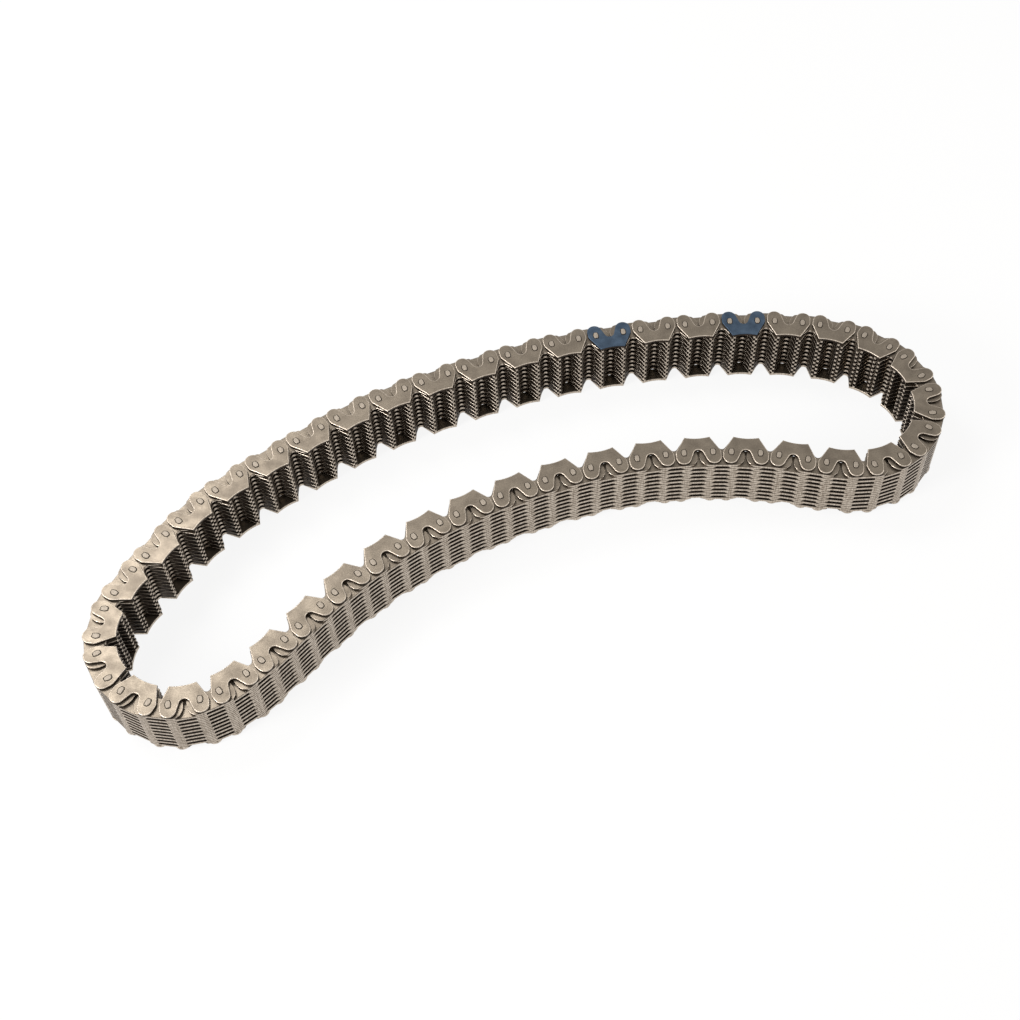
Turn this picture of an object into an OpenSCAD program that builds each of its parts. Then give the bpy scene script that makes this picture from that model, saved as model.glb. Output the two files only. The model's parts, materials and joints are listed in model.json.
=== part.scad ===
// Endless inverted-tooth (silent) chain with rocker-pin joints, lying on its side on a flat surface.
// Guide rows and inner rows alternate round the loop. The teeth point inwards, where the sprockets run.
// Frame: X along the loop's length, Z along the pins, origin under the middle of the loop. Millimetres.

/* [Chain] */
// Distance between two neighbouring joint centres
pitch = 9.525; // [9:0.005:10.5]
// Guide plates along one side of the loop; each has one guide row and one inner row
guide_count = 42; // [36:1:42]
// Toothed plates in one guide row; an inner row has one more
row_plates = 9; // [3:1:11]

/* [Link plates] */
// Thickness of every plate
plate_t = 1.3; // [0.8:0.05:1.6]
// Running gap between neighbouring plates in the stack
plate_gap = 0.05; // [0.03:0.01:0.15]
// Gap between the round ends of two toothed plates in one layer
end_gap = 0.85; // [0.5:0.05:1.5]
// Height of the tooth tips above the joint centres
tooth_h = 7.4; // [6:0.1:8]
// Width of the flat on a tooth tip
tip_w = 0.9; // [0.8:0.05:1.6]
// Lean of the outer tooth flank
flank_angle = 30; // [26:0.5:31]
// Height of the bottom of the tooth gap above the joint centres
crotch_h = 2.3; // [1.8:0.1:3.2]
// Radius at the bottom of the tooth gap
crotch_r = 1.5; // [0.8:0.1:2.2]
// Depth of the straight back below the joint centres
back_h = 5.3; // [4.6:0.1:5.4]
// Radius of the two back corners
corner_r = 3.6; // [2.6:0.1:4]

/* [Guide plates] */
// Gap between the ends of two neighbouring guide plates
guide_gap = 0.76; // [0.5:0.02:1.2]
// Height of the crown corners above the joint centres
crown_h = 7.5; // [6.5:0.1:8.5]
// Half of the crown's width
crown_half = 5.1; // [4.5:0.1:5.6]
// Hollow of the crown's edge
crown_sag = 0.65; // [0.3:0.05:1]
// Radius of the shoulders beside the joints
shoulder_r = 2.85; // [2.4:0.05:3.2]
// Depth of the shoulder centres below the joint centres
shoulder_drop = 0.3; // [0:0.05:0.8]
// Radius of the two legs
leg_r = 3.1; // [2.8:0.05:3.4]
// Depth of the leg centres below the joint centres
leg_drop = 2.2; // [1.8:0.1:2.6]
// Radius of the notch's round top
notch_r = 2; // [1.8:0.05:2.2]
// Depth of the notch's centre below the joint centres
notch_drop = 0.6; // [0.4:0.05:0.8]

/* [Pins] */
// Radius of a pin's round back
pin_r = 2.1; // [1.8:0.05:2.3]
// Half of a pin's depth across the chain
pin_half = 1.4; // [1.2:0.05:1.7]
// Radius of the rocker face
rocker_r = 3.2; // [2.8:0.1:4]
// Gap between the two rocker faces of a joint
rocker_gap = 0.2; // [0.15:0.01:0.3]
// Clearance round a pin in its hole
pin_fit = 0.05; // [0.03:0.01:0.08]
// Length of a pin head outside its guide plate
head_h = 0.35; // [0.2:0.05:0.8]
// Clearance between a short pin's end and the guide plate
pin_end_gap = 0.1; // [0.05:0.05:0.3]

/* [Hidden] */
$fn = 96;

// Bend of the loop at stations along it, as [joint number on an 84-joint loop, degrees per joint].
// Positive bends close the loop over the teeth and negative ones bend it backwards.
lay_joint_count = 84;
lay = [
    [0, 2], [4, 0.5], [8, 2], [13, 0.5], [17, 3], [21, -0.5], [25, 5.5], [28, 0],
    [30, 8], [32, 18], [37, 17.5], [39, 12], [41, 2.5], [45, -3.5], [55, -2.5],
    [65, -4], [67, 3.5], [69, 16], [73, 18], [77, 11.5], [81, 3.5], [84, 2]
];
// Direction in which the first guide row points
lay_turn = 181.3;

// Guide rows in the two end turns, where each row is its own piece: first and last, on a loop of 42
left_turn = [15, 22];
right_turn = [33, 40];
turn_guide_count = 42;
// Guide rows whose upper guide plate is a coloured timing plate
timing_rows = [0, 3];

rows = 2 * guide_count;
layers = 2 * row_plates + 3;
layer_step = plate_t + plate_gap;
stack_h = layers * plate_t + (layers - 1) * plate_gap;
chain_w = stack_h + 2 * head_h;
end_r = (pitch - end_gap) / 2;
hole_r = pin_r + pin_fit;
guide_half = pitch - guide_gap / 2;
leg_x = guide_half - leg_r;
shoulder_x = guide_half - shoulder_r;
crown_r = (crown_half * crown_half + crown_sag * crown_sag) / (2 * crown_sag);
cut_over = 1;
// Corners of an outline lie this far inside the arcs that they run into
tuck = 0.02;
steel = [0.55, 0.51, 0.46];
dark_steel = [0.46, 0.43, 0.39];
pin_steel = [0.66, 0.62, 0.56];
timing_blue = [0.22, 0.33, 0.47];

// Running total of a list before each item, and the sum of the whole list
function running(list) = [for (i = 0, s = 0 * list[0]; i < len(list); s = s + list[i], i = i + 1) s];
function total(list) = running(list)[len(list) - 1] + list[len(list) - 1];

// Bends of all joints: the stations, an even share that makes a full turn, and a wave that closes the loop
lay_bends = [for (k = [0 : rows - 1]) lookup(k * lay_joint_count / rows, lay)];
even_share = (360 - total(lay_bends)) / rows;
function bends(u, v) = [
    for (k = [0 : rows - 1])
        lay_bends[k] + even_share + u * cos(360 * k / rows) + v * sin(360 * k / rows)
];
// Unit steps of the rows, and where the last one ends
function steps(b) = [for (h = running(b)) [cos(h + lay_turn), sin(h + lay_turn)]];
function miss(u, v) = total(steps(bends(u, v)));
// Newton steps on the wave's two amounts, until the last row meets the first
probe_amount = 0.01;
settle_steps = 8;
function settle(u, v, left) =
    left == 0 ? [u, v] :
    let (
        m = miss(u, v),
        mu = (miss(u + probe_amount, v) - m) / probe_amount,
        mv = (miss(u, v + probe_amount) - m) / probe_amount,
        det = mu[0] * mv[1] - mu[1] * mv[0]
    )
    settle(
        u - (m[0] * mv[1] - m[1] * mv[0]) / det,
        v - (mu[0] * m[1] - mu[1] * m[0]) / det,
        left - 1
    );
wave = settle(0, 0, settle_steps);
bend = bends(wave[0], wave[1]);
heading = [for (h = running(bend)) h + lay_turn];
joint = pitch * running(steps(bend));

// A point given in a row's own frame, with the tooth side along +Y, and the middle of the whole loop
function row_middle(k) = joint[k] + pitch / 2 * [cos(heading[k]), sin(heading[k])];
function on_row(k, x, y) = row_middle(k) + [
    x * cos(heading[k]) - y * sin(heading[k]),
    x * sin(heading[k]) + y * cos(heading[k])
];
legs = [for (j = [0 : guide_count - 1], s = [-1, 1]) on_row(2 * j, s * leg_x, -leg_drop)];
legs_x = [for (p = legs) p[0]];
legs_y = [for (p = legs) p[1]];
middle = [max(legs_x) + min(legs_x), max(legs_y) + min(legs_y)] / 2;

// Touching point on a circle of a line from an outside point; side is +1 or -1
function touch(c, r, p, side) =
    let (
        d = p - c,
        a = atan2(d[1], d[0]) + side * acos(r / norm(d))
    )
    c + r * [cos(a), sin(a)];
// Touching points of the line that runs between two circles and crosses the line of their centres
function cross_touch(c1, r1, c2, r2) =
    let (
        d = c2 - c1,
        a = atan2(d[1], d[0]) + acos((r1 + r2) / norm(d)),
        n = [cos(a), sin(a)]
    )
    [c1 + r1 * n, c2 - r2 * n];

// Names of the rows: single rows in the turns, pairs of rows on the runs between them
function tag(j) = str(j < 9 ? "0" : "", j + 1);
function in_turn(j, turn) =
    j >= turn[0] * guide_count / turn_guide_count && j < (turn[1] + 1) * guide_count / turn_guide_count;
function is_single(j) = in_turn(j, left_turn) || in_turn(j, right_turn);
function is_timing(j) = len(search(j, timing_rows)) > 0;
singles = [for (j = [0 : guide_count - 1]) if (is_single(j)) j];
pairs = [for (j = [0 : guide_count - 1]) if (!is_single(j)) j];

// Puts its children in the frame of one row
module at_row(k) {
    p = row_middle(k) - middle;
    translate([p[0], p[1], 0])
        rotate([0, 0, heading[k]])
            children();
}

// Raises a flat outline into the plate of one layer, counted from the bottom
module plate_at(layer) {
    translate([0, 0, head_h + layer * layer_step])
        linear_extrude(height = plate_t)
            children();
}

// Section of one rocker pin on its side of a joint centre, grown by a clearance
module pin_section(side, grow) {
    intersection() {
        circle(r = pin_r + grow);
        translate([side * (rocker_gap / 2 + rocker_r), 0])
            circle(r = rocker_r + grow);
        square([2 * (pin_r + grow), 2 * (pin_half + grow)], center = true);
    }
}

// The tooth gap of a link plate: a round bottom and two flanks that open towards the tips
module tooth_gap(tip_in) {
    c = [0, crotch_h + crotch_r];
    t = touch(c, crotch_r - tuck, [tip_in, tooth_h], -1);
    translate(c)
        circle(r = crotch_r);
    polygon([
        [tip_in, tooth_h + cut_over], [-tip_in, tooth_h + cut_over], [-tip_in, tooth_h],
        [-t[0], t[1]], [t[0], t[1]], [tip_in, tooth_h]
    ]);
}

// Outline of a toothed link plate: two round ends, a straight back with round corners and two teeth
module link_outline() {
    tip_out = pitch / 2 + (end_r - tooth_h * sin(flank_angle)) / cos(flank_angle);
    round_end = end_r - tuck;
    side_x = pitch / 2 + round_end * cos(flank_angle);
    side_y = round_end * sin(flank_angle);
    end_x = pitch / 2 + round_end;
    corner = [pitch / 2 + end_r - corner_r, corner_r - back_h];
    difference() {
        union() {
            polygon([
                [tip_out, tooth_h], [-tip_out, tooth_h], [-side_x, side_y], [-end_x, 0],
                [-end_x, corner[1]], [-corner[0], tuck - back_h],
                [corner[0], tuck - back_h], [end_x, corner[1]],
                [end_x, 0], [side_x, side_y]
            ]);
            for (s = [-1, 1]) {
                translate([s * pitch / 2, 0])
                    circle(r = end_r);
                translate([s * corner[0], corner[1]])
                    circle(r = corner_r);
            }
        }
        tooth_gap(tip_out - tip_w);
        for (s = [-1, 1])
            translate([s * pitch / 2, 0])
                circle(r = hole_r);
    }
}

// Outline of a guide plate: hollow crown, sloped sides, round shoulders and two legs with a notch between
module guide_outline() {
    shoulder = [shoulder_x, -shoulder_drop];
    t = touch(shoulder, shoulder_r - tuck, [crown_half, crown_h], -1);
    side = guide_half - tuck;
    flare = cross_touch([0, -notch_drop], notch_r - tuck, [leg_x, -leg_drop], leg_r - tuck);
    half = [
        flare[0], flare[1], [leg_x, -leg_drop], [side, -leg_drop],
        [side, -shoulder_drop], t, [crown_half, crown_h]
    ];
    difference() {
        union() {
            polygon(concat(half, [for (i = [len(half) - 1 : -1 : 0]) [-half[i][0], half[i][1]]]));
            for (s = [-1, 1]) {
                translate([s * leg_x, -leg_drop])
                    circle(r = leg_r);
                translate([s * shoulder_x, -shoulder_drop])
                    circle(r = shoulder_r);
            }
        }
        translate([0, crown_h - crown_sag + crown_r])
            circle(r = crown_r);
        translate([0, -notch_drop])
            circle(r = notch_r);
        for (s = [-1, 1])
            translate([s * pitch / 2, 0])
                pin_section(s, pin_fit);
    }
}

// One toothed plate in its layer
module link_plate(layer, tone) {
    color(tone)
        plate_at(layer)
            link_outline();
}

// One guide plate in its layer
module guide_plate(layer, tone) {
    color(tone)
        plate_at(layer)
            guide_outline();
}

// The two long pins of a guide row, from head to head
module long_pins() {
    color(pin_steel)
        for (s = [-1, 1])
            translate([s * pitch / 2, 0, 0])
                linear_extrude(height = chain_w)
                    pin_section(s, 0);
}

// The two short rocker pins of an inner row, kept in by the guide plates
module short_pins() {
    low = head_h + layer_step - plate_gap + pin_end_gap;
    color(pin_steel)
        for (s = [-1, 1])
            translate([s * pitch / 2, 0, low])
                linear_extrude(height = chain_w - 2 * low)
                    pin_section(s, 0);
}

// Guide row: two guide plates, the toothed plates in the odd layers and two long pins.
// A timing row leaves its upper guide plate to the timing plate.
module guide_row(j) {
    at_row(2 * j) {
        guide_plate(0, steel);
        if (!is_timing(j)) guide_plate(layers - 1, steel);
        for (i = [1 : row_plates]) link_plate(2 * i, dark_steel);
        long_pins();
    }
}

// Inner row: the toothed plates in the even layers and two short pins
module inner_row(j) {
    at_row(2 * j + 1) {
        for (i = [0 : row_plates]) link_plate(2 * i + 1, steel);
        short_pins();
    }
}

// A guide row and the inner row after it, on the runs between the turns
module link_pair(j) {
    guide_row(j);
    inner_row(j);
}

// Coloured upper guide plate that marks a timing row
module timing_plate(j) {
    at_row(2 * j)
        guide_plate(layers - 1, timing_blue);
}

for (j = pairs) link_pair(j);
for (j = singles) guide_row(j);
for (j = singles) inner_row(j);
for (j = timing_rows) timing_plate(j);
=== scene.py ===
# %% [markdown]
# # A silent chain, dressed for its picture
# A silent chain is a stack of thin toothed plates on rocker pins, bent into an endless loop that lies on its
# side. The CAD frame already holds every plate and pin as a solid with sharp edges. This notebook gives those
# plates rounded edges, the tempered steel that the eye expects and painted light and shade on their edges and
# faces, and leaves every size alone.
# The frame could be shown as it is, but a punched plate has no sharp edges, and light shows that at once.

# %% Load the frame
import json
import math

import bpy
import numpy as np
from mathutils import Matrix, Vector


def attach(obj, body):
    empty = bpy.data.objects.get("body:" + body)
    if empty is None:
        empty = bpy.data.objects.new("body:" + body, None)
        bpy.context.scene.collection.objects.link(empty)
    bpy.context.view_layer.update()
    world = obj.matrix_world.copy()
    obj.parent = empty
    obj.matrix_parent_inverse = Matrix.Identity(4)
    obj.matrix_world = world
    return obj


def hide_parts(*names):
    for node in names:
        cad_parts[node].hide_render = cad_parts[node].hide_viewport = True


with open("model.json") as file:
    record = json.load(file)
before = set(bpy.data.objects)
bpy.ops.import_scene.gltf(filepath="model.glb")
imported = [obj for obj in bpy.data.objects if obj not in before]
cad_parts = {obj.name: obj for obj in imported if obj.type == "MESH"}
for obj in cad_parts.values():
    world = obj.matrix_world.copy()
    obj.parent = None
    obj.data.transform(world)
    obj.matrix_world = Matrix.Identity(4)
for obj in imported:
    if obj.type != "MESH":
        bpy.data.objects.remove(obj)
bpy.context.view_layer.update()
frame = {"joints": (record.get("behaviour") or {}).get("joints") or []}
mm = 0.001

# %% [markdown]
# ## The camera
# The picture looks down on the loop at about 57 degrees, from the front and a little right of the middle.
# A camera can be found by trial, but here it was solved from the places of the pin heads: a lens of 58.6 mm
# on a 36 mm sensor, 650 mm away. The picture was cropped off centre, so the lens has a small shift.

# %% Camera at the picture's angle
image_px = 1020
sensor_mm = 36.0
lens_px = 1660.04
axis_px = np.array([573.59, 504.12])
looking_down = math.radians(57.535)
roll = math.radians(-0.2057)
camera_place = np.array([16.372, -352.666, 578.680]) * mm

lens = bpy.data.cameras.new("picture_lens")
lens.sensor_width = sensor_mm
lens.lens = lens_px * sensor_mm / image_px
lens.shift_x = (image_px / 2 - axis_px[0]) / image_px
lens.shift_y = (axis_px[1] - image_px / 2) / image_px
lens.clip_start = 10 * mm
camera = bpy.data.objects.new("picture_camera", lens)
camera.matrix_world = (
    Matrix.Translation(camera_place)
    @ Matrix.Rotation(math.pi / 2 - looking_down, 4, "X")
    @ Matrix.Rotation(roll, 4, "Z")
)
bpy.context.scene.collection.objects.link(camera)
bpy.context.scene.camera = camera
print("lens %.2f mm, shift %.4f %.4f" % (lens.lens, lens.shift_x, lens.shift_y))

# %% [markdown]
# ## Colours and nodes
# Colours are written as the hex values that a picture editor shows. Shaders work in linear light, so one
# function converts them. A second small function adds a shader node with its settings and its links, so that
# each finish below reads as a short list of what it is made of.

# %% Helpers for the finishes
def linear(code):
    """sRGB hex to linear RGBA: c / 12.92 below 0.04045, else ((c + 0.055) / 1.055) ** 2.4."""
    c = np.array([int(code[i:i + 2], 16) for i in (1, 3, 5)]) / 255
    c = np.where(c <= 0.04045, c / 12.92, ((c + 0.055) / 1.055) ** 2.4)
    return (*c, 1.0)


def add(tree, kind, inputs=None, **settings):
    """One node: settings are its properties, inputs are socket values or the sockets that feed them."""
    node = tree.nodes.new(kind)
    for name, value in settings.items():
        setattr(node, name, value)
    for socket, value in (inputs or {}).items():
        if isinstance(value, bpy.types.NodeSocket):
            tree.links.new(value, node.inputs[socket])
        else:
            node.inputs[socket].default_value = value
    return node


def new_finish(name):
    """An empty node material, its node tree, and the piece's Object coordinates, which are in metres."""
    finish = bpy.data.materials.new(name)
    finish.use_nodes = True
    tree = finish.node_tree
    tree.nodes.clear()
    place = add(tree, "ShaderNodeTexCoord").outputs["Object"]
    return finish, tree, place


print("white is", linear("#ffffff"), "and mid grey is", tuple(round(c, 3) for c in linear("#808080")))

# %% [markdown]
# ## Floor, background and light
# The loop lies on a plain white table that fills the picture. A white floor can be lit until it burns out,
# but that would flood the steel too. Here the floor and the world simply are white to the camera and to
# reflections, and a thin share of the floor still takes light, so that the loop keeps a faint shadow.
# The key lamp stands behind the loop's left end, where the camera sees its sheen on the plates there, and the
# steel falls off towards the right. A lamp at the front left picks out the rims, as in a studio, and a faint
# one at the right keeps that end from going dull.

# %% Seen-as-white factor
eye_rays = ["Is Camera Ray", "Is Glossy Ray", "Is Transmission Ray"]


def shown_to_eye(tree):
    """1 for rays that come from the camera, from a glossy surface or through glass, else 0."""
    path = add(tree, "ShaderNodeLightPath")
    share = path.outputs[eye_rays[0]]
    for ray in eye_rays[1:]:
        share = add(tree, "ShaderNodeMath", {0: share, 1: path.outputs[ray]}, operation="MAXIMUM").outputs[0]
    return share


print("white to:", ", ".join(eye_rays))

# %% White floor with a faint shadow
floor_half = 3.0
floor_drop = 0.05 * mm
shadow_share = 0.12
floor_mesh = bpy.data.meshes.new("table_top")
corners = np.array([[-1, -1, 0], [1, -1, 0], [1, 1, 0], [-1, 1, 0]]) * floor_half - [0, 0, floor_drop]
floor_mesh.from_pydata(corners.tolist(), [], [(0, 1, 2, 3)])
floor = bpy.data.objects.new("table_top", floor_mesh)
bpy.context.scene.collection.objects.link(floor)

paper, tree, place = new_finish("white_paper")
lit = add(tree, "ShaderNodeBsdfDiffuse", {"Color": linear("#f4f2ef")})
plain = add(tree, "ShaderNodeEmission", {"Color": linear("#ffffff"), "Strength": 1.0})
part_lit = add(tree, "ShaderNodeMixShader", {0: shadow_share, 1: plain.outputs[0], 2: lit.outputs[0]})
pick = add(tree, "ShaderNodeMixShader", {0: shown_to_eye(tree), 1: lit.outputs[0], 2: part_lit.outputs[0]})
add(tree, "ShaderNodeOutputMaterial", {"Surface": pick.outputs[0]})
floor_mesh.materials.append(paper)
print("floor:", 2 * floor_half, "m wide, with", shadow_share, "of its shadow shown")

# %% World
room_light = 0.45
world = bpy.data.worlds.new("studio")
bpy.context.scene.world = world
world.use_nodes = True
tree = world.node_tree
tree.nodes.clear()
room = add(tree, "ShaderNodeBackground", {"Color": linear("#ffffff"), "Strength": room_light})
white = add(tree, "ShaderNodeBackground", {"Color": linear("#ffffff"), "Strength": 1.0})
pick = add(tree, "ShaderNodeMixShader", {0: shown_to_eye(tree), 1: room.outputs[0], 2: white.outputs[0]})
add(tree, "ShaderNodeOutputWorld", {"Surface": pick.outputs[0]})
bpy.context.scene.view_settings.view_transform = "Standard"
print("room light:", room_light)

# %% Lamps
# Where each lamp stands, what it aims at and how wide it is, all in metres, and its power in watts
lamps = {
    "key_back_left": ((-0.46, 0.36, 0.78), (-0.14, -0.03, 0.0), 0.40, 4.2),
    "rim_front_left": ((-0.75, -0.45, 0.50), (-0.05, 0.0, 0.0), 0.40, 8.0),
    "fill_right": ((0.75, 0.10, 0.55), (0.12, 0.0, 0.0), 0.50, 1.6),
}
for name, (stand, aim, width, watts) in lamps.items():
    lamp = bpy.data.lights.new(name, "AREA")
    lamp.shape = "DISK"
    lamp.size = width
    lamp.energy = watts
    holder = bpy.data.objects.new(name, lamp)
    toward = Vector(aim) - Vector(stand)
    turn = toward.to_track_quat("-Z", "Y").to_matrix().to_4x4()
    holder.matrix_world = Matrix.Translation(stand) @ turn
    bpy.context.scene.collection.objects.link(holder)
    print("lamp:", name, watts, "W")

# %% [markdown]
# ## Guide steel
# The guide plates are stamped from spring steel, hardened and tempered to a warm taupe, and then tumbled
# with stones. That leaves a satin surface with soft clouds some millimetres wide, and a fine grain. A picture
# of steel could be used, but noise at the real sizes gives the same clouds and never repeats round the loop.
# Noise seldom leaves the middle of its range, so its middle band is spread over all of a finish's tints.

# %% Guide steel
cloud_mm = 5.0
grain_mm = 0.55
relief_mm = 0.05
band_low, band_high = 0.32, 0.68
wide_low, wide_high = 0.3, 0.7
grain_dark, grain_light = 0.86, 1.1
dull, polished = 0.47, 0.39

guide_steel, tree, place = new_finish("tempered_guide_steel")
clouds = add(tree, "ShaderNodeTexNoise", {"Vector": place, "Scale": 1 / (cloud_mm * mm), "Detail": 3.0})
grain = add(tree, "ShaderNodeTexNoise", {"Vector": place, "Scale": 1 / (grain_mm * mm), "Detail": 2.0})
spread = add(tree, "ShaderNodeMapRange", {0: clouds.outputs[0], 1: band_low, 2: band_high})
tint = add(tree, "ShaderNodeMix", {0: spread.outputs[0], 6: linear("#6b6257"), 7: linear("#7f7568")},
           data_type="RGBA")
speck = add(tree, "ShaderNodeMapRange", {
    0: grain.outputs[0], 1: wide_low, 2: wide_high, 3: grain_dark, 4: grain_light})
shade = add(tree, "ShaderNodeMix", {0: 1.0, 6: tint.outputs[2], 7: speck.outputs[0]},
            data_type="RGBA", blend_type="MULTIPLY")
satin = add(tree, "ShaderNodeMapRange", {
    0: clouds.outputs[0], 1: wide_low, 2: wide_high, 3: dull, 4: polished})
relief = add(tree, "ShaderNodeBump", {
    "Height": grain.outputs[0], "Strength": 0.12, "Distance": relief_mm * mm})
skin = add(tree, "ShaderNodeBsdfPrincipled", {
    "Base Color": shade.outputs[2], "Metallic": 1.0,
    "Roughness": satin.outputs[0], "Normal": relief.outputs[0]})
add(tree, "ShaderNodeOutputMaterial", {"Surface": skin.outputs[0]})
print("guide steel: clouds", cloud_mm, "mm, grain", grain_mm, "mm")

# %% [markdown]
# ## Sheared plate edges
# Punching leaves the edge of each plate bright and streaked across its thickness, from the die. Its light
# tint
# is also painted light: it goes on the backs, tips and tooth gaps, on the chamfers of the shaded walls, on
# the guides' rolled rims and on the lower guides' walls, while the walls turned away get painted shade. On
# the loop these edges are nearly all that shows of the toothed plates: light strips on the back and light
# arcs and tips on the inside. The streaks are noise that is stretched along the pins, which fits a plate at
# any turn.

# %% Sheared edges
streak_mm = 0.35
streak_long_mm = 5.0

edge_painted_light, tree, place = new_finish("sheared_edge_painted_light")
stretch = add(tree, "ShaderNodeMapping", {
    "Vector": place, "Scale": (1 / (streak_mm * mm), 1 / (streak_mm * mm), 1 / (streak_long_mm * mm))})
streaks = add(tree, "ShaderNodeTexNoise", {"Vector": stretch.outputs[0], "Scale": 1.0, "Detail": 2.0})
spread = add(tree, "ShaderNodeMapRange", {0: streaks.outputs[0], 1: band_low, 2: band_high})
# Light tint: partly the bright sheared steel, partly painted light on the walls and rims that face the light
tint = add(tree, "ShaderNodeMix", {0: spread.outputs[0], 6: linear("#9a8d7e"), 7: linear("#d0c4b5")},
           data_type="RGBA")
relief = add(tree, "ShaderNodeBump", {
    "Height": streaks.outputs[0], "Strength": 0.15, "Distance": relief_mm * mm})
skin = add(tree, "ShaderNodeBsdfPrincipled", {
    "Base Color": tint.outputs[2], "Metallic": 1.0, "Roughness": 0.42, "Normal": relief.outputs[0]})
add(tree, "ShaderNodeOutputMaterial", {"Surface": skin.outputs[0]})
print("sheared edges: streaks", streak_mm, "mm apart")

# %% [markdown]
# ## Painted shade on the tooth flanks
# The ends and flanks of the teeth are sheared like the backs. Their dark brown steel is painted shade, a
# shaded copy of the sheared steel, and their corners get the light steel as painted highlights. The backs,
# tips and tooth gaps are the other way round: light steel, with painted shade on their corners. The straight
# walls of the upper guides and the blue plates get this painted shade too. One steel for all of them would be
# simpler, but the inside of the loop would lose its pattern of light and dark.

# %% Tooth flanks
flank_cloud_mm = 2.2

flank_painted_shade, tree, place = new_finish("brown_flank_painted_shade")
clouds = add(tree, "ShaderNodeTexNoise", {"Vector": place, "Scale": 1 / (flank_cloud_mm * mm), "Detail": 3.0})
spread = add(tree, "ShaderNodeMapRange", {0: clouds.outputs[0], 1: band_low, 2: band_high})
# Dark brown tint: painted shade on the tooth flanks, the guides' straight walls and the chamfers of the light
# walls
tint = add(tree, "ShaderNodeMix", {0: spread.outputs[0], 6: linear("#261f19"), 7: linear("#40352c")},
           data_type="RGBA")
skin = add(tree, "ShaderNodeBsdfPrincipled", {
    "Base Color": tint.outputs[2], "Metallic": 1.0, "Roughness": 0.5})
add(tree, "ShaderNodeOutputMaterial", {"Surface": skin.outputs[0]})
print("tooth flanks: clouds", flank_cloud_mm, "mm")

# %% [markdown]
# ## Painted shade on the plate faces
# The flat faces of the toothed plates, and the walls of the pin holes, are painted nearly black as shade.
# Seen between the bright edges they are the dark slits of the loop, and round each pin head a dark outline.
# A black paint would do from afar, but this painted shade has faint clouds and a dull gloss, so it is a
# brown-black noise without metal.

# %% Painted shade on plate faces
face_cloud_mm = 1.6

face_painted_shade, tree, place = new_finish("plate_face_painted_shade")
clouds = add(tree, "ShaderNodeTexNoise", {"Vector": place, "Scale": 1 / (face_cloud_mm * mm), "Detail": 2.0})
spread = add(tree, "ShaderNodeMapRange", {0: clouds.outputs[0], 1: band_low, 2: band_high})
# Near-black tint: painted shade for the slits between plates and round the pin heads
tint = add(tree, "ShaderNodeMix", {0: spread.outputs[0], 6: linear("#140f0b"), 7: linear("#261e18")},
           data_type="RGBA")
skin = add(tree, "ShaderNodeBsdfPrincipled", {
    "Base Color": tint.outputs[2], "Roughness": 0.7, "Specular IOR Level": 0.2})
add(tree, "ShaderNodeOutputMaterial", {"Surface": skin.outputs[0]})
print("painted shade faces: clouds", face_cloud_mm, "mm")

# %% [markdown]
# ## Pin steel
# The rocker pins are drawn bearing steel, and their heads were upset in a press, so they are a little lighter
# than the guide plates and more matt. A plain grey would do at this size, but fine marks from the tool keep
# the heads from looking like chrome when the eye comes close.

# %% Pin steel
mark_mm = 0.3

pin_steel, tree, place = new_finish("upset_pin_steel")
marks = add(tree, "ShaderNodeTexNoise", {"Vector": place, "Scale": 1 / (mark_mm * mm), "Detail": 2.0})
spread = add(tree, "ShaderNodeMapRange", {0: marks.outputs[0], 1: band_low, 2: band_high})
tint = add(tree, "ShaderNodeMix", {0: spread.outputs[0], 6: linear("#877d71"), 7: linear("#a3998c")},
           data_type="RGBA")
skin = add(tree, "ShaderNodeBsdfPrincipled", {
    "Base Color": tint.outputs[2], "Metallic": 1.0, "Roughness": 0.6})
add(tree, "ShaderNodeOutputMaterial", {"Surface": skin.outputs[0]})
print("pin steel: marks", mark_mm, "mm")

# %% [markdown]
# ## Timing blue
# Two guide plates are blued, so that a fitter can set the chain on its timing marks. The blue is a thin hard
# oxide over the same satin steel: it keeps the metal's gloss, and is uneven where the plate was handled.
# A blue paint would hide the metal, so the colour is the metal's own, and the surface is partly metallic.

# %% Timing blue
blue_cloud_mm = 4.0

blue_steel, tree, place = new_finish("blued_timing_steel")
clouds = add(tree, "ShaderNodeTexNoise", {"Vector": place, "Scale": 1 / (blue_cloud_mm * mm), "Detail": 3.0})
spread = add(tree, "ShaderNodeMapRange", {0: clouds.outputs[0], 1: band_low, 2: band_high})
tint = add(tree, "ShaderNodeMix", {0: spread.outputs[0], 6: linear("#303e4d"), 7: linear("#435364")},
           data_type="RGBA")
skin = add(tree, "ShaderNodeBsdfPrincipled", {
    "Base Color": tint.outputs[2], "Metallic": 0.7, "Roughness": 0.42})
add(tree, "ShaderNodeOutputMaterial", {"Surface": skin.outputs[0]})
print("timing blue: clouds", blue_cloud_mm, "mm")

# %% The six finishes
finishes = [guide_steel, edge_painted_light, flank_painted_shade, face_painted_shade, pin_steel, blue_steel]
GUIDE, PAINTED_LIGHT_EDGE, PAINTED_SHADE_FLANK, PAINTED_SHADE_FACE, PIN, BLUE = range(len(finishes))
print("finishes:", ", ".join(finish.name for finish in finishes))

# %% [markdown]
# ## How the loop lies
# Every row of the chain stands one pitch after the last and turns a little at its joint. The bends are known
# at a few stations round the loop, and a small wave on top of them makes the last row meet the first one.
# The row places could be read off the CAD meshes, but working them out again checks both. The loop's middle
# is that of the box round its guide legs, as in the CAD.

# %% Bends round the loop
pitch = 9.525
row_count = 84
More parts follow.
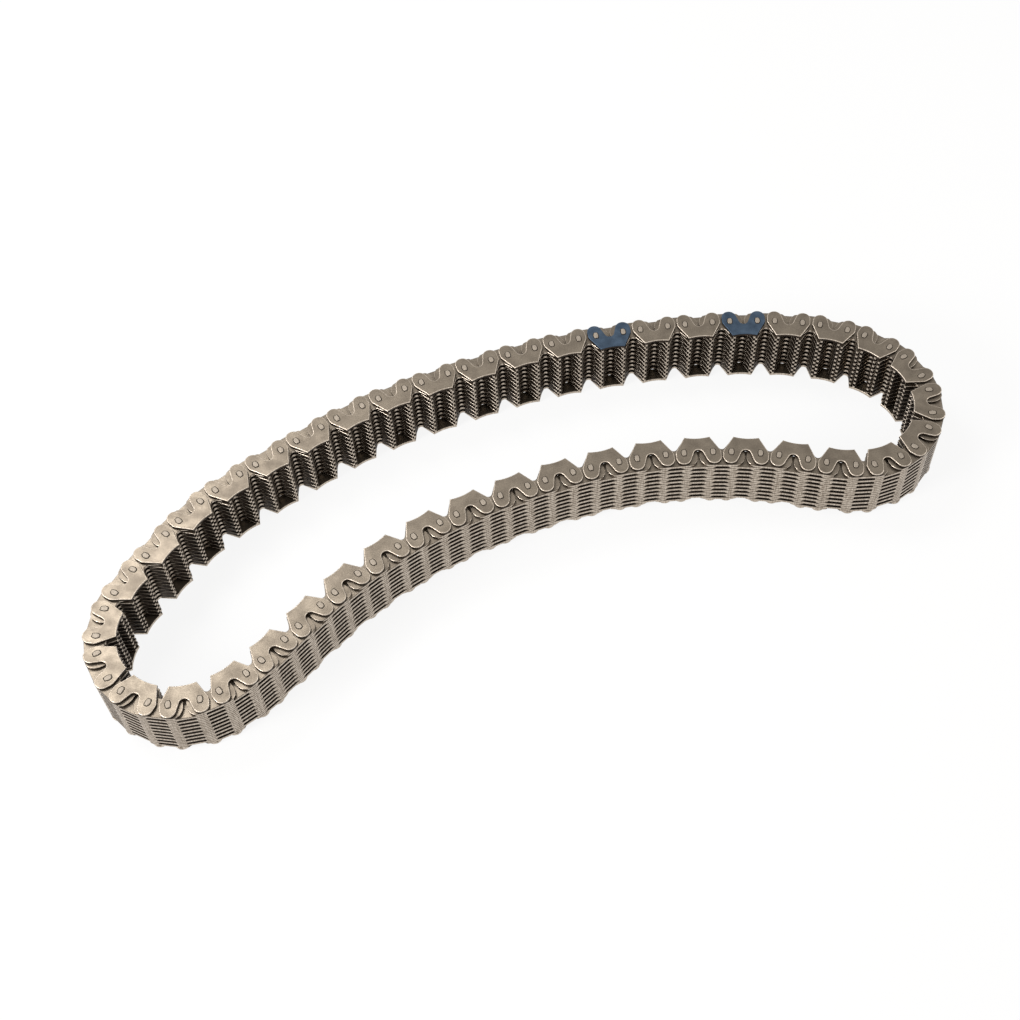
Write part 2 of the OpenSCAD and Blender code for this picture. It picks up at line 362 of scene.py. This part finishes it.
# Joint number and bend in degrees at each station
lay = np.array([
    [0, 2], [4, 0.5], [8, 2], [13, 0.5], [17, 3], [21, -0.5], [25, 5.5], [28, 0],
    [30, 8], [32, 18], [37, 17.5], [39, 12], [41, 2.5], [45, -3.5], [55, -2.5],
    [65, -4], [67, 3.5], [69, 16], [73, 18], [77, 11.5], [81, 3.5], [84, 2]])
lay_turn = 181.3
row = np.arange(row_count)
lay_bends = np.interp(row, lay[:, 0], lay[:, 1])
even_share = (360 - lay_bends.sum()) / row_count
around = 2 * np.pi * row / row_count
print("bends add up to %.1f degrees, so each joint gets %.3f more" % (lay_bends.sum(), even_share))

# %% Places of the rows
def headings(wave):
    """Direction of each row: the running total of the bends, with the wave u cos + v sin added to them."""
    bend = lay_bends + even_share + wave[0] * np.cos(around) + wave[1] * np.sin(around)
    return np.radians(lay_turn + np.concatenate([[0], np.cumsum(bend)[:-1]]))


def steps(heading):
    """Unit vectors along the rows."""
    return np.stack([np.cos(heading), np.sin(heading)], axis=1)


wave = np.zeros(2)
probe = 0.01
newton_steps = 8
for _ in range(newton_steps):
    miss = steps(headings(wave)).sum(axis=0)
    gradient = [(steps(headings(wave + probe * unit)).sum(axis=0) - miss) / probe for unit in np.eye(2)]
    wave = wave - np.linalg.solve(np.array(gradient).T, miss)
heading = headings(wave)
joints = pitch * np.concatenate([[[0, 0]], np.cumsum(steps(heading), axis=0)[:-1]])
row_middle = joints + pitch / 2 * steps(heading)
print("wave %.4f %.4f degrees" % tuple(wave))

# %% Check against the frame
guide_gap = 0.76
guide_half = pitch - guide_gap / 2
leg_r = 3.1
leg_drop = 2.2
leg_x = guide_half - leg_r
along, across = steps(heading)[::2], steps(heading + np.pi / 2)[::2]
legs = np.concatenate([row_middle[::2] + end * leg_x * along - leg_drop * across for end in (-1, 1)])
loop_middle = (legs.max(axis=0) + legs.min(axis=0)) / 2
row_middle = row_middle - loop_middle
joints = joints - loop_middle
pivots = np.array([joint["pos_m"][:2] for joint in frame["joints"]]) / mm
misfit = np.linalg.norm(pivots[:, None] - joints[None], axis=2).min(axis=1)
print("pivots agree within %.4f mm" % misfit.max())

# %% [markdown]
# ## Shapes as arrays
# A plate is a flat outline carried up through its thickness, with the outline drawn in a little at the edges.
# A solid with a Bevel modifier would do it too, but some thousand plates are quicker as arrays: each shape is
# made once, in its own row's frame, and then copied to every place in one step.
# A shape is kept as corner points, face corners in one long list, face sizes and finishes.

# %% Rings, walls and caps
def drawn_in(outline, inset):
    """Outline moved inwards: each corner p goes to p - inset (n1 + n2) / (1 + n1.n2).

    n1 and n2 are the outward normals of the two edges that meet at p.
    """
    ahead = np.roll(outline, -1, axis=0) - outline
    ahead = ahead / np.linalg.norm(ahead, axis=1, keepdims=True)
    normal = np.stack([ahead[:, 1], -ahead[:, 0]], axis=1)
    before = np.roll(normal, 1, axis=0)
    shared = 1 + (normal * before).sum(axis=1, keepdims=True)
    return outline - inset * (normal + before) / shared


def at_height(outline, height):
    """A flat outline set at a height."""
    return np.column_stack([outline, np.full(len(outline), height)])


def wall(low, high, count):
    """Quads between two rings of count corners that start at low and high, facing out of the outline."""
    i = np.arange(count)
    k = (i + 1) % count
    return np.stack([low + i, low + k, high + k, high + i], axis=1)


print("a 4 mm square drawn in by 1 mm:", drawn_in(np.array([[0, 0], [4, 0], [4, 4], [0, 4.0]]), 1).tolist())

# %% Shapes from faces
def shape(points, groups):
    """Joins face groups, each (list of faces, finish), on one set of points."""
    faces = [face for group, _ in groups for face in group]
    sizes = np.array([len(face) for face in faces])
    finish = np.concatenate([np.full(len(group), number) for group, number in groups])
    return points, np.concatenate(faces).astype(int), sizes, finish


def joined(shapes):
    """Several shapes as one: the face corners of each move up by the points before it."""
    starts = np.cumsum([0] + [len(s[0]) for s in shapes])
    corners = np.concatenate([s[1] + start for s, start in zip(shapes, starts)])
    return (np.concatenate([s[0] for s in shapes]), corners,
            np.concatenate([s[2] for s in shapes]), np.concatenate([s[3] for s in shapes]))


def raised(part, height):
    """A shape moved up."""
    return part[0] + [0, 0, height], *part[1:]


triangle = shape(np.eye(3), [([np.arange(3)], GUIDE)])
print("two triangles joined have", len(joined([triangle, raised(triangle, 1)])[0]), "points")

# %% Arcs and outlines
def arc(centre, radius, first, last, count):
    """Points on a circle from one angle to another, in degrees."""
    angle = np.radians(np.linspace(first, last, count))
    return np.array(centre) + radius * np.stack([np.cos(angle), np.sin(angle)], axis=1)


def mirrored(points):
    """Points on the other side of x = 0, in the order that keeps the outline anticlockwise."""
    return points[::-1] * [-1, 1]


def touch_angle(centre, radius, point, side):
    """Angle in degrees where a line from a point touches a circle: its direction plus acos(r / distance)."""
    away = np.array(point) - centre
    return math.degrees(math.atan2(away[1], away[0]) + side * math.acos(radius / np.linalg.norm(away)))


print("a line from (2, 0) touches the unit circle at %.0f degrees" % touch_angle(np.zeros(2), 1, [2, 0], 1))

# %% [markdown]
# ## The toothed link plate
# Each link plate has two round ends about its joints, a straight back with round corners, and two teeth with
# a round gap between. There are 798 of them, so each has only 83 faces: 21 outline corners, a small chamfer
# on both edges, and eight-sided holes whose flats clear the pins. Each flat side is two faces that meet on
# the line through both holes.

# %% Link outline
plate_t = 1.3
end_gap = 0.85
end_r = (pitch - end_gap) / 2
tooth_h = 7.4
tip_w = 0.9
flank_angle = 30
flank = math.radians(flank_angle)
gap_y = 3.8
gap_r = 1.5
gap_n = 5
back_h = 5.3
corner_r = 3.6

tip_out = pitch / 2 + (end_r - tooth_h * math.sin(flank)) / math.cos(flank)
tip_in = tip_out - tip_w
gap_middle = np.array([0, gap_y])
gap_angle = touch_angle(gap_middle, gap_r, [tip_in, tooth_h], -1)
back_corner = arc([pitch / 2 + end_r - corner_r, corner_r - back_h], corner_r, -90, 0, count=4)
link_half = np.concatenate([
    back_corner, arc([pitch / 2, 0], end_r, 0, flank_angle, count=2),
    [[tip_out, tooth_h], [tip_in, tooth_h]]])
link_outline = np.concatenate([
    link_half, arc(gap_middle, gap_r, gap_angle, -180 - gap_angle, gap_n), mirrored(link_half)])
link_n = len(link_outline)
print("link outline:", link_n, "corners, and a gap that opens at %.1f degrees" % gap_angle)

# %% Link holes and bright walls
hole_r = 2.15
hole_n = 8
hole_corner_r = hole_r / math.cos(math.pi / hole_n)
right_hole = arc([pitch / 2, 0], hole_corner_r, 0, 360 - 360 / hole_n, hole_n)
left_hole = right_hole - [pitch, 0]

# Wall i runs from outline corner i to the next one, and the straight back is the last wall
tip, gap = len(link_half) - 2, len(link_half)
wall_number = np.arange(link_n)
on_back = np.isin(wall_number, [0, link_n - 2, link_n - 1])
on_gap = np.isin(wall_number, range(gap, gap + gap_n - 1))
on_tips = np.isin(wall_number, [tip, link_n - 2 - tip])
# Walls in this mask get the light steel as painted light, and the others the dark steel as painted shade
bright = on_back | on_gap | on_tips
print("bright walls:", bright.sum(), "of", link_n)

# %% Link plate
chamfer = 0.12
level = len(back_corner)


def link_plate(low_face, high_face):
    """Outline carried through z = 0, c, t - c, t with inset c, 0, 0, c.

    The hole walls run straight through in painted shade. Bright walls have chamfers in painted shade, and
    walls in painted shade have bright chamfers as painted highlights.
    """
    rings = [(chamfer, 0), (0, chamfer), (0, plate_t - chamfer), (chamfer, plate_t)]
    points = [at_height(drawn_in(link_outline, inset), z) for inset, z in rings]
    points += [at_height(hole, z) for z in (0, plate_t) for hole in (right_hole, left_hole)]
    low, middle, high = [wall(link_n * i, link_n * (i + 1), link_n) for i in range(len(rings) - 1)]
    painted_light_walls = np.concatenate([middle[bright], low[~bright], high[~bright]])
    dark = np.concatenate([middle[~bright], low[bright], high[bright]])
    low_holes = len(rings) * link_n
    high_holes = low_holes + 2 * hole_n
    holes = [wall(low_holes + start, high_holes + start, hole_n)[:, ::-1] for start in (0, hole_n)]
    half = hole_n // 2
    below = -np.arange(half + 1)
    caps = []
    for outline, hole in ((0, low_holes), ((len(rings) - 1) * link_n, high_holes)):
        right, left = hole + np.arange(hole_n), hole + hole_n + np.arange(hole_n)
        tooth_side = outline + np.arange(level, link_n - level)
        back_side = outline + np.arange(link_n - level - 1, link_n + level + 1) % link_n
        caps.append([np.concatenate([tooth_side, left[half::-1], right[half::-1]]),
                     np.concatenate([back_side, right[below], left[below]])])
    return shape(np.concatenate(points), [
        (list(painted_light_walls), PAINTED_LIGHT_EDGE), (list(dark), PAINTED_SHADE_FLANK), (list(np.concatenate(holes)), PAINTED_SHADE_FACE),
        ([face[::-1] for face in caps[0]], low_face), (caps[1], high_face)])


hidden_link = link_plate(PAINTED_SHADE_FACE, PAINTED_SHADE_FACE)
print("link plate:", len(hidden_link[2]), "faces")

# %% [markdown]
# ## The rocker pin
# A joint has two pins that roll on each other, each with a round back and a flatter rocker face. The heads of
# the long ones stand 0.35 mm proud of the guide plates and are rounded over. Each pin is its section carried
# along Z, drawn in along a quarter circle at both ends. A bevelled cylinder would be simpler, but the heads
# show that the pins are not round.

# %% Pin section
pin_r = 2.1
pin_half = 1.4
rocker_r = 3.2
rocker_half_gap = 0.1
rocker_x = rocker_half_gap + rocker_r


def pin_outline(grow):
    """Section right of its joint: a circle, cut at half depth and by the rocker circle, plus a clearance."""
    depth = pin_half + grow
    corner = math.degrees(math.asin(depth / (pin_r + grow)))
    lean = math.degrees(math.asin(depth / (rocker_r + grow)))
    back = arc([0, 0], pin_r + grow, 0, corner, count=4)
    rocker = arc([rocker_x, 0], rocker_r + grow, 180 - lean, 180 + lean, count=5)
    return np.concatenate([back, rocker, back[:0:-1] * [1, -1]]) + [pitch / 2, 0]


def turned(outline):
    """The same outline on the row's other side, starting again at its outermost corner."""
    return np.roll(mirrored(outline), 1, axis=0)


section = pin_outline(0)
print("pin section:", len(section), "corners")

# %% Pins
chain_w = 29.0
short_low = 1.75
head_round = 0.22
quarter = np.radians([0, 30, 60, 90])


def rocker_pin(outline, low, high):
    """Rings at inset r (1 - sin a) and height r (1 - cos a) from either end, a from 0 to 90 degrees."""
    inset, rise = head_round * (1 - np.sin(quarter)), head_round * (1 - np.cos(quarter))
    rings = [*zip(inset, low + rise), *zip(inset[::-1], high - rise[::-1])]
    count = len(outline)
    points = np.concatenate([at_height(drawn_in(outline, i), z) for i, z in rings])
    sides = np.concatenate([wall(count * i, count * (i + 1), count) for i in range(len(rings) - 1)])
    top = count * (len(rings) - 1) + np.arange(count)
    return shape(points, [(list(sides), PIN), ([np.arange(count)[::-1], top], PIN)])


def pin_pair(low, high):
    """The two pins of a row, between two heights."""
    return joined([rocker_pin(outline, low, high) for outline in (section, turned(section))])


long_pins = pin_pair(0, chain_w)
short_pins = pin_pair(short_low, chain_w - short_low)
print("pin:", len(long_pins[2]) // 2, "faces")

# %% [markdown]
# ## The guide plate
# The outermost plates have no teeth: a hollow crown on the tooth side, sloped sides, round shoulders, and two
# legs with a notch between them, through which the plates below show. The punch rolls their outer edge over
# by about 0.3 mm and leaves the inner edge nearly sharp. The rolled rim gets the light edge steel as a
# painted highlight, and the straight wall under it the dark flank steel as painted shade.
# The flat sides are cut along lines from the outline to the pin holes, into a body and two legs.

# %% Guide outline
crown_h = 7.5
crown_half = 5.1
crown_sag = 0.65
shoulder_r = 2.85
shoulder_drop = 0.3
notch_r = 2.0
notch_drop = 0.6

crown_r = (crown_half ** 2 + crown_sag ** 2) / (2 * crown_sag)
crown_angle = math.degrees(math.asin(crown_half / crown_r))
crown_middle = [0, crown_h - crown_sag + crown_r]
crown = arc(crown_middle, crown_r, -90 + crown_angle, -90 - crown_angle, count=9)
shoulder = np.array([guide_half - shoulder_r, -shoulder_drop])
side_angle = touch_angle(shoulder, shoulder_r, [crown_half, crown_h], -1)
side = arc(shoulder, shoulder_r, 0, side_angle, count=6)
notch_middle = np.array([0, -notch_drop])
leg_middle = np.array([leg_x, -leg_drop])
to_leg = leg_middle - notch_middle
swing = math.acos((notch_r + leg_r) / np.linalg.norm(to_leg))
flare = math.degrees(math.atan2(to_leg[1], to_leg[0]) + swing)
leg = arc(leg_middle, leg_r, flare - 180, 0, count=13)
notch = arc(notch_middle, notch_r, 180 - flare, flare, count=9)
guide_outline = np.concatenate([side, crown, mirrored(side), mirrored(leg), notch, leg])
guide_n = len(guide_outline)
print("guide outline:", guide_n, "corners, and a notch that flares at %.1f degrees" % flare)

# %% Guide holes
pin_fit = 0.05
hole_bevel = 0.22
right_pin_hole = pin_outline(pin_fit)
left_pin_hole = turned(right_pin_hole)
wide_right_hole = pin_outline(pin_fit + hole_bevel)
wide_left_hole = turned(wide_right_hole)
pin_n = len(right_pin_hole)
print("guide holes:", pin_n, "corners, bevelled by", hole_bevel, "mm")

# %% Guide plate
die_roll = 0.3
back_chamfer = 0.08


def guide_plate(finish, rim_finish, wall_finish):
    """Rings: a back chamfer, the straight edge, then the die roll's quarter circle.

    The die roll goes r (1 - cos a) in and r sin a up, with a from 0 to 90 degrees.
    """
    rings = [(back_chamfer, 0), (0, back_chamfer)]
    rings += [*zip(die_roll * (1 - np.cos(quarter)), plate_t - die_roll + die_roll * np.sin(quarter))]
    points = [at_height(drawn_in(guide_outline, inset), z) for inset, z in rings]
    pin_holes = (right_pin_hole, left_pin_hole)
    points += [at_height(hole, z) for z in (0, plate_t - hole_bevel) for hole in pin_holes]
    points += [at_height(hole, plate_t) for hole in (wide_right_hole, wide_left_hole)]
    sides = [wall(guide_n * i, guide_n * (i + 1), guide_n) for i in range(len(rings) - 1)]
    low_holes = len(rings) * guide_n
    high_holes = low_holes + 2 * len(pin_holes) * pin_n
    starts = range(low_holes, high_holes, pin_n)
    holes = [wall(start, start + len(pin_holes) * pin_n, pin_n)[:, ::-1] for start in starts]
    left_side, left_notch = 2 * len(side) + len(crown) - 1, guide_n - len(leg) - len(notch)
    right_notch = guide_n - len(leg) - 1
    half = pin_n // 2
    caps = []
    for outline, hole in ((0, low_holes), ((len(rings) - 1) * guide_n, high_holes)):
        right, left = hole + np.arange(pin_n), hole + pin_n + np.arange(pin_n)
        above_left, below_left = np.roll(left[::-1], 1)[:half + 1], left[half::-1]
        above_right, below_right = right[half::-1], np.roll(right[::-1], 1)[:half + 1]
        body = np.concatenate([outline + np.arange(0, left_side + 1), above_left,
                               outline + np.arange(left_notch, right_notch + 1), above_right])
        left_leg = np.concatenate([outline + np.arange(left_side, left_notch + 1), below_left])
        right_leg = np.concatenate([outline + np.arange(right_notch, guide_n), [outline], below_right])
        caps.append([body, left_leg, right_leg])
    # The pin holes and their bevel get the near-black steel, a painted shade round each pin head
    return shape(np.concatenate(points), [
        (list(np.concatenate(sides[:2])), wall_finish), (list(np.concatenate(sides[2:])), rim_finish),
        (list(np.concatenate(holes)), PAINTED_SHADE_FACE),
        ([face[::-1] for face in caps[0]], finish), (caps[1], finish)])


# The rolled rim gets the light steel as a painted highlight, and the straight wall the dark steel as painted
# shade
upper_guide = guide_plate(GUIDE, PAINTED_LIGHT_EDGE, PAINTED_SHADE_FLANK)
print("guide plate:", len(upper_guide[2]), "faces")

# %% Lower guide
def upside_down(part):
    """A plate turned over about its middle plane, with each face's corners in the other order."""
    points = part[0] * [1, 1, -1] + [0, 0, plate_t]
    ends = np.cumsum(part[2])
    spot = np.arange(len(part[1]))
    owner = np.repeat(np.arange(len(part[2])), part[2])
    corners = part[1][ends[owner] - 1 - (spot - (ends - part[2])[owner])]
    return points, corners, part[2], part[3]


# The lower guide's wall and rim both get the light steel, painted light along the lower edge of the loop
lower_guide = upside_down(guide_plate(GUIDE, PAINTED_LIGHT_EDGE, PAINTED_LIGHT_EDGE))
print("lower guide: from z %.2f to %.2f mm" % (lower_guide[0][:, 2].min(), lower_guide[0][:, 2].max()))

# %% [markdown]
# ## Rows
# A guide row is two guide plates, nine link plates in every second layer and two long pins. An inner row is
# ten link plates in the layers between, and two short pins. The outward faces of the outermost link plates
# show in the notches of the guides, so they get the guide steel instead of the painted shade of the inner
# faces.
# A row of a blue plate leaves out the upper guide, because the blue plate is a piece of its own.

# %% Row shapes
head_h = 0.35
layer_step = 1.35
top_layer = 20
lowest_link, highest_link = link_plate(GUIDE, PAINTED_SHADE_FACE), link_plate(PAINTED_SHADE_FACE, GUIDE)


def layer_z(layer):
    """Height of a layer's underside, counted from the bottom."""
    return head_h + layer * layer_step


def link_stack(low, high):
    """Every second layer from low to high as link plates, with the guide steel on the two outward faces."""
    middle = [raised(hidden_link, layer_z(i)) for i in range(low + 2, high, 2)]
    return joined([raised(lowest_link, layer_z(low)), *middle, raised(highest_link, layer_z(high))])


timing_row = joined([raised(lower_guide, layer_z(0)), link_stack(2, top_layer - 2), long_pins])
guide_row = joined([timing_row, raised(upper_guide, layer_z(top_layer))])
inner_row = joined([link_stack(1, top_layer - 1), short_pins])
# The blue plate's straight wall gets the dark steel as painted shade
timing_plate = raised(guide_plate(BLUE, BLUE, PAINTED_SHADE_FLANK), layer_z(top_layer))
print("faces: guide row", len(guide_row[2]), "inner row", len(inner_row[2]))

# %% [markdown]
# ## Placing the rows
# On the runs a guide row and the inner row after it form one body, and in the two turns each row is its own.
# Every piece is built where the chain lies, rides on its body, and stands for the CAD node of that name.
# Its round walls are shaded smooth, and a Weighted Normal modifier keeps the flat sides flat.

# %% How a piece is laid
smooth_angle = math.radians(35)


def on_row(part, number):
    """A row's shape turned by its heading and moved to its middle, in metres."""
    c, s = np.cos(heading[number]), np.sin(heading[number])
    x, y, z = part[0].T
    turned_points = np.stack([c * x - s * y, s * x + c * y, z], axis=1)
    return (turned_points + [*row_middle[number], 0]) * mm, *part[1:]


def lay_piece(name, part, node, body):
    """Puts a shape into a mesh object with the six finishes, which rides on its body for its node."""
    points, corners, sizes, finish = part
    mesh = bpy.data.meshes.new(name)
    mesh.vertices.add(len(points))
    mesh.vertices.foreach_set("co", points.ravel())
    mesh.loops.add(len(corners))
    mesh.loops.foreach_set("vertex_index", corners)
    mesh.polygons.add(len(sizes))
    mesh.polygons.foreach_set("loop_start", np.cumsum(sizes) - sizes)
    mesh.polygons.foreach_set("material_index", finish)
    mesh.update(calc_edges=True)
    mesh.validate()
    mesh.shade_smooth()
    mesh.set_sharp_from_angle(angle=smooth_angle)
    for material in finishes:
        mesh.materials.append(material)
    piece = bpy.data.objects.new(name, mesh)
    bpy.context.scene.collection.objects.link(piece)
    even = piece.modifiers.new("flat_sides", "WEIGHTED_NORMAL")
    even.keep_sharp = True
    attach(piece, body)
    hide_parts(node)


print("the first guide row's middle in mm:", np.round(row_middle[0], 2).tolist())

# %% Pieces round the loop
# Guide rows in the left and right turns, and those with a blue plate, all counted from 0
turns = [*range(15, 23), *range(33, 41)]
timing_rows = [0, 3]
faces_laid = 0
for guide in range(row_count // 2):
    tag = f"{guide + 1:02d}"
    first = on_row(timing_row if guide in timing_rows else guide_row, 2 * guide)
    second = on_row(inner_row, 2 * guide + 1)
    if guide in turns:
        nodes = {f"guide_row_{tag}": first, f"inner_row_{tag}": second}
    else:
        nodes = {f"link_pair_{tag}": joined([first, second])}
    for node, part in nodes.items():
        lay_piece(f"steel_{node}", part, node, node)
        faces_laid += len(part[2])
for guide in timing_rows:
    node = f"timing_plate_{guide + 1:02d}"
    carrier = f"link_pair_{guide + 1:02d}"
    lay_piece(f"blue_{node}", on_row(timing_plate, 2 * guide), node, carrier)
    faces_laid += len(timing_plate[2])
print("laid", faces_laid, "faces round the loop")
